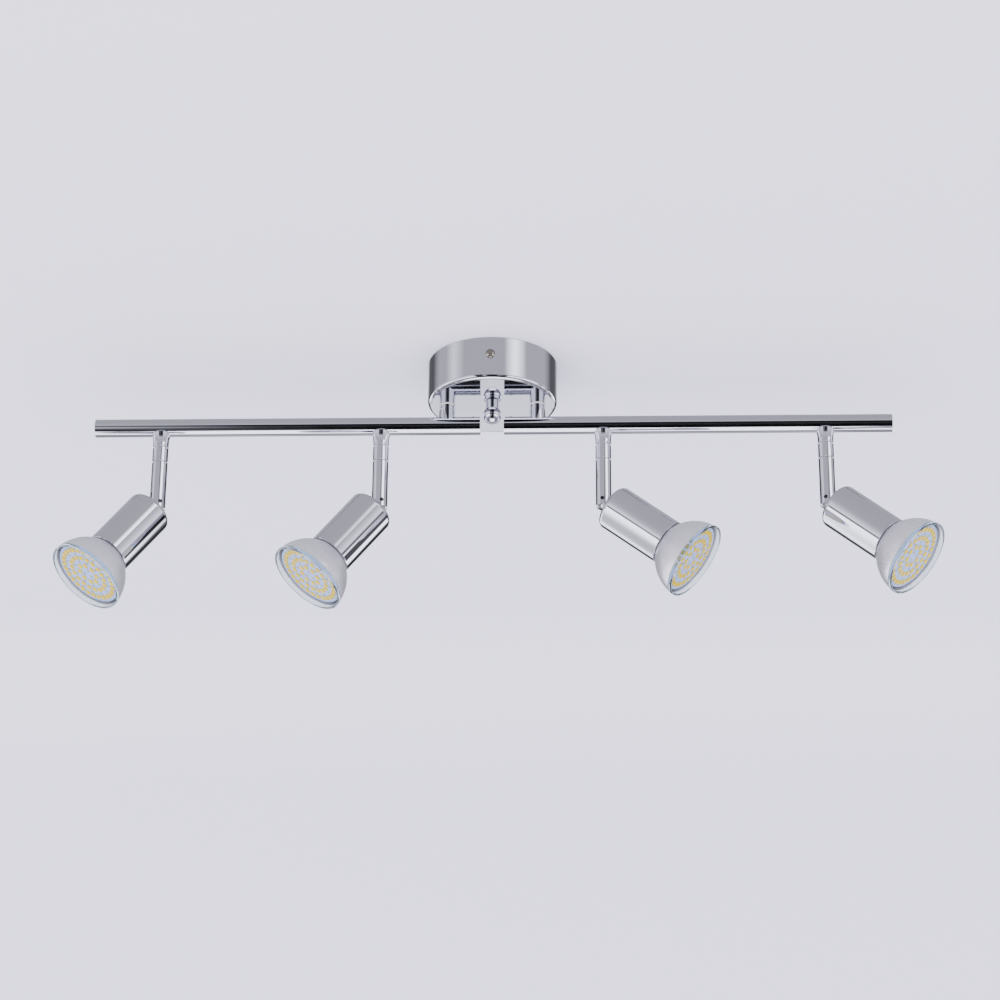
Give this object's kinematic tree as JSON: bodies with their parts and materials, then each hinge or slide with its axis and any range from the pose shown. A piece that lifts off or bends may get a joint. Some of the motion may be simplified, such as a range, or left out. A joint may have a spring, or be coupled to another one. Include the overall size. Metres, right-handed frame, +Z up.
{
  "type": "ceiling bar spotlight",
  "caption": "Ceiling light with a round canopy, swinging half-bars on short pivots, and swivelling, tilting barrel heads that hold reflector lamps with light-chip faces.",
  "frame": {"origin": "centre of the bracket's ceiling face, midway between its two screw slots", "axes": "+Z up into the ceiling, +X along the two half-bars, -Y to the side that the heads lean towards"},
  "size_m": [0.5501, 0.0885, 0.1683],
  "materials": {
    "chrome": "bright mirror plating",
    "zinc_steel": "zinc-plated pressed steel",
    "brass": "turned",
    "white_nylon": "moulded, satin",
    "dark_steel": "oiled black",
    "tongue_steel": "brushed, warm plated",
    "ceramic": "fired, satin",
    "lamp_plastic": "moulded, satin",
    "nickel": "nickel-plated",
    "coated_glass": "frosted silver coating on glass",
    "led_board": "white solder mask"
  },
  "bodies": {
    "ceiling_unit": {"canopy_shell": "chrome", "mounting_bracket": "zinc_steel", "side_screws": "chrome", "centre_stud": "zinc_steel", "stud_lock_nut": "zinc_steel", "ball_cap_nut": "chrome", "earth_screw": "brass", "terminal_block": "white_nylon", "terminal_screws": "brass", "pivot_spindles": "zinc_steel", "spindle_nuts": "zinc_steel", "friction_washers": "white_nylon"},
    "half_bar_left": {"bar_tube_left": "chrome", "bar_collar_left": "chrome", "bar_plugs_left": "chrome", "plug_rivet_left": "chrome", "spot_saddles_left": "chrome", "swivel_collars_left": "chrome"},
    "half_bar_right": {"bar_tube_right": "chrome", "bar_collar_right": "chrome", "bar_plugs_right": "chrome", "plug_rivet_right": "chrome", "spot_saddles_right": "chrome", "swivel_collars_right": "chrome"},
    "arm_1": {"arm_fork_1": "chrome", "tilt_pin_1": "dark_steel"},
    "head_1": {"head_tongue_1": "tongue_steel", "head_barrel_1": "chrome", "lampholder_1": "ceramic"},
    "lamp_1": {"lamp_base_1": "lamp_plastic", "lamp_contacts_1": "nickel", "lamp_cup_1": "coated_glass", "lamp_board_1": "led_board"},
    "arm_2": {"arm_fork_2": "chrome", "tilt_pin_2": "dark_steel"},
    "head_2": {"head_tongue_2": "tongue_steel", "head_barrel_2": "chrome", "lampholder_2": "ceramic"},
    "lamp_2": {"lamp_base_2": "lamp_plastic", "lamp_contacts_2": "nickel", "lamp_cup_2": "coated_glass", "lamp_board_2": "led_board"},
    "arm_3": {"arm_fork_3": "chrome", "tilt_pin_3": "dark_steel"},
    "head_3": {"head_tongue_3": "tongue_steel", "head_barrel_3": "chrome", "lampholder_3": "ceramic"},
    "lamp_3": {"lamp_base_3": "lamp_plastic", "lamp_contacts_3": "nickel", "lamp_cup_3": "coated_glass", "lamp_board_3": "led_board"},
    "arm_4": {"arm_fork_4": "chrome", "tilt_pin_4": "dark_steel"},
    "head_4": {"head_tongue_4": "tongue_steel", "head_barrel_4": "chrome", "lampholder_4": "ceramic"},
    "lamp_4": {"lamp_base_4": "lamp_plastic", "lamp_contacts_4": "nickel", "lamp_cup_4": "coated_glass", "lamp_board_4": "led_board"}
  },
  "joints": [
    {"name": "bar_swivel_left", "type": "hinge", "parent": "ceiling_unit", "child": "half_bar_left", "pos_m": [-0.02865, 0, -0.034], "axis": [0, 0, 1], "range_deg": [-90, 90]},
    {"name": "bar_swivel_right", "type": "hinge", "parent": "ceiling_unit", "child": "half_bar_right", "pos_m": [0.02865, 0, -0.034], "axis": [0, 0, 1], "range_deg": [-90, 90]},
    {"name": "arm_swivel_1", "type": "hinge", "parent": "half_bar_left", "child": "arm_1", "pos_m": [-0.2103, 0, -0.07], "axis": [0, 0, -1], "range_deg": [-135, 135]},
    {"name": "head_tilt_1", "type": "hinge", "parent": "arm_1", "child": "head_1", "pos_m": [-0.2103, 0, -0.0944], "axis": [-0.4848, 0.8746, 0], "range_deg": [-37, 53]},
    {"name": "lamp_twist_1", "type": "hinge", "parent": "head_1", "child": "lamp_1", "pos_m": [-0.2103, 0, -0.0944], "axis": [-0.5264, -0.2918, -0.7986], "range_deg": [-20, 0]},
    {"name": "arm_swivel_2", "type": "hinge", "parent": "half_bar_left", "child": "arm_2", "pos_m": [-0.0703, 0, -0.07], "axis": [0, 0, -1], "range_deg": [-135, 135]},
    {"name": "head_tilt_2", "type": "hinge", "parent": "arm_2", "child": "head_2", "pos_m": [-0.0703, 0, -0.0944], "axis": [-0.3338, 0.9426, 0], "range_deg": [-38, 52]},
    {"name": "lamp_twist_2", "type": "hinge", "parent": "head_2", "child": "lamp_2", "pos_m": [-0.0703, 0, -0.0944], "axis": [-0.5803, -0.2055, -0.788], "range_deg": [-20, 0]},
    {"name": "arm_swivel_3", "type": "hinge", "parent": "half_bar_right", "child": "arm_3", "pos_m": [0.0703, 0, -0.07], "axis": [0, 0, -1], "range_deg": [-135, 135]},
    {"name": "head_tilt_3", "type": "hinge", "parent": "arm_3", "child": "head_3", "pos_m": [0.0703, 0, -0.0944], "axis": [-0.1822, -0.9833, 0], "range_deg": [-51.5, 38.5]},
    {"name": "lamp_twist_3", "type": "hinge", "parent": "head_3", "child": "lamp_3", "pos_m": [0.0703, 0, -0.0944], "axis": [0.7695, -0.1426, -0.6225], "range_deg": [-20, 0]},
    {"name": "arm_swivel_4", "type": "hinge", "parent": "half_bar_right", "child": "arm_4", "pos_m": [0.2103, 0, -0.07], "axis": [0, 0, -1], "range_deg": [-135, 135]},
    {"name": "head_tilt_4", "type": "hinge", "parent": "arm_4", "child": "head_4", "pos_m": [0.2103, 0, -0.0944], "axis": [-0.3535, -0.9354, 0], "range_deg": [-48.6, 41.4]},
    {"name": "lamp_twist_4", "type": "hinge", "parent": "head_4", "child": "lamp_4", "pos_m": [0.2103, 0, -0.0944], "axis": [0.7017, -0.2651, -0.6613], "range_deg": [-20, 0]}
  ]
}
